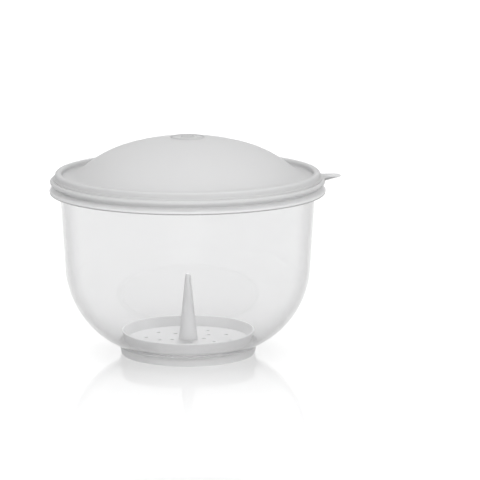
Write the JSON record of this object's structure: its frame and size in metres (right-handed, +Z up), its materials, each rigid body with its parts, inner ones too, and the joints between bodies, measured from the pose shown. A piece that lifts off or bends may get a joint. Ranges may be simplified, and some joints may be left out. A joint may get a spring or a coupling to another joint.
{
  "type": "lettuce keeper",
  "caption": "Round clear food bowl on a foot ring, with a white domed press-on lid and pull tab, and a perforated drain insert with a centre spike.",
  "frame": {"origin": "centre of the flat ring that the foot stands on", "axes": "+Z up along the bowl's axis, +X from the axis towards the lid's pull tab"},
  "size_m": [0.2531, 0.238, 0.1897],
  "materials": {
    "clear_plastic": "clear, faintly hazy gloss",
    "lid_plastic": "soft satin white",
    "insert_plastic": "satin white"
  },
  "bodies": {
    "bowl": {"bowl": "clear_plastic"},
    "lid": {"lid": "lid_plastic"},
    "drain_insert": {"drain_insert": "insert_plastic"}
  },
  "joints": [
    {"name": "lid_lift", "type": "slide", "parent": "bowl", "child": "lid", "axis": [0, 0, 1], "range_m": [0, 0.08]},
    {"name": "insert_lift", "type": "slide", "parent": "bowl", "child": "drain_insert", "axis": [0, 0, 1], "range_m": [0, 0.11]}
  ]
}
